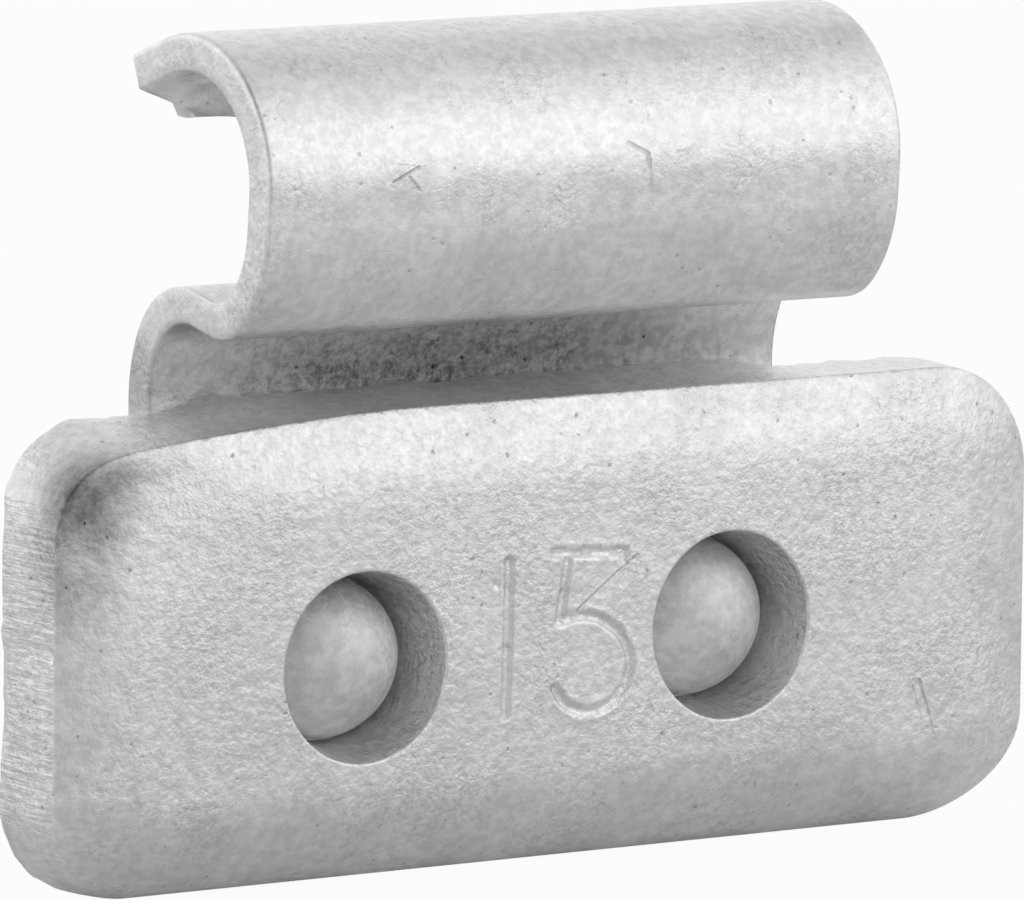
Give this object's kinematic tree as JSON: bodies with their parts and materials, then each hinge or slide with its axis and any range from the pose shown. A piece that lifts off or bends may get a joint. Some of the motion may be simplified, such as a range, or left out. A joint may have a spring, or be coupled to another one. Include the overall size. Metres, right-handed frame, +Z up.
{
  "type": "clip-on wheel balance weight",
  "caption": "Clip-on wheel balance weight: a rounded steel slab riveted to a bent spring clip whose hook grips the rim edge.",
  "frame": {"origin": "on the axis of the hook's round grip, level with the middle of the weight body", "axes": "+X along the weight, to the right seen from its front; +Z up, from the weight body to the hook; the front face looks towards -Y"},
  "size_m": [0.0318, 0.0077, 0.0232],
  "materials": {
    "plated_body": "satin zinc plating with a fine grain",
    "plated_clip": "satin zinc plating, smoother along the bends",
    "plated_rivet": "satin zinc plating, rubbed on the heads"
  },
  "bodies": {
    "root": {"weight_body": "plated_body", "rim_clip": "plated_clip", "rivet_left": "plated_rivet", "rivet_right": "plated_rivet"}
  },
  "joints": []
}
